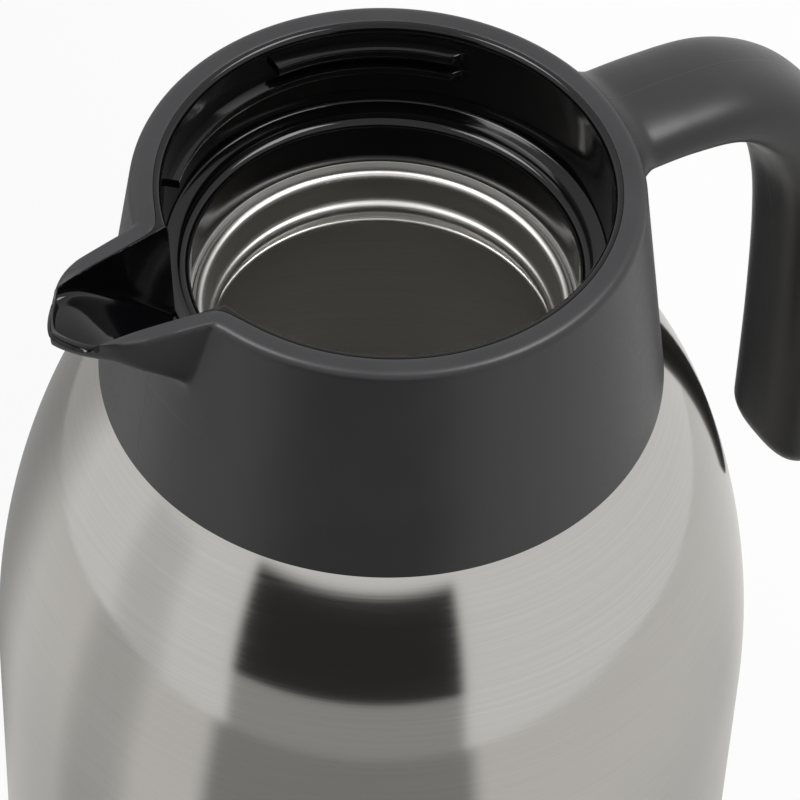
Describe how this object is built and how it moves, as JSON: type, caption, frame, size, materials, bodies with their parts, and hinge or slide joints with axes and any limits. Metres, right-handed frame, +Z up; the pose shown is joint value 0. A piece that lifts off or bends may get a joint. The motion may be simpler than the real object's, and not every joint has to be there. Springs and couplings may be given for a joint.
{
  "type": "vacuum carafe",
  "caption": "Wide steel vacuum carafe with a satin collar, pouring spout and open handle, its twist-in flip lid taken off and standing behind it.",
  "frame": {"origin": "centre of the foot pad's underside, on the table", "axes": "+Z up along the carafe's axis, +X towards the handle, the spout points along -X"},
  "size_m": [0.1849, 0.2232, 0.218],
  "materials": {
    "brushed_steel": "fine brushing round the body",
    "dark_metal": "dull",
    "foil": "bright foil",
    "satin_plastic": "satin, fine grain",
    "gloss_plastic": "polished",
    "silicone": "matt",
    "foot_rubber": "matt",
    "foam": "foam"
  },
  "bodies": {
    "carafe": {"outer_shell": "brushed_steel", "outer_base": "brushed_steel", "inner_vessel": "brushed_steel", "vacuum_seal": "brushed_steel", "getter": "dark_metal", "radiation_foil": "foil", "collar": "satin_plastic", "mouth_liner": "gloss_plastic", "neck_ring": "satin_plastic", "neck_gasket": "silicone", "collar_screws": "brushed_steel", "handle": "satin_plastic", "handle_screws": "brushed_steel", "base_cap": "satin_plastic", "foot_pad": "foot_rubber"},
    "lid": {"lid_body": "satin_plastic", "lid_bottom": "satin_plastic", "lid_cover": "satin_plastic", "lid_insulation": "foam", "lid_gasket": "silicone", "hinge_pin": "brushed_steel", "lever_spring": "brushed_steel", "cover_screws": "brushed_steel"},
    "lever": {"flip_lever": "satin_plastic", "port_seal": "silicone"}
  },
  "joints": [
    {"name": "lid_lift", "type": "slide", "parent": "carafe", "child": "lid", "axis": [0, 0, 1], "range_m": [0, 0.2]},
    {"name": "lever_hinge", "type": "hinge", "parent": "lid", "child": "lever", "pos_m": [0.07686, 0.10911, 0.0281], "axis": [0, 1, 0], "range_deg": [0, 26], "stiffness_Nm_per_rad": 0.05, "springref_deg": -22.92}
  ]
}
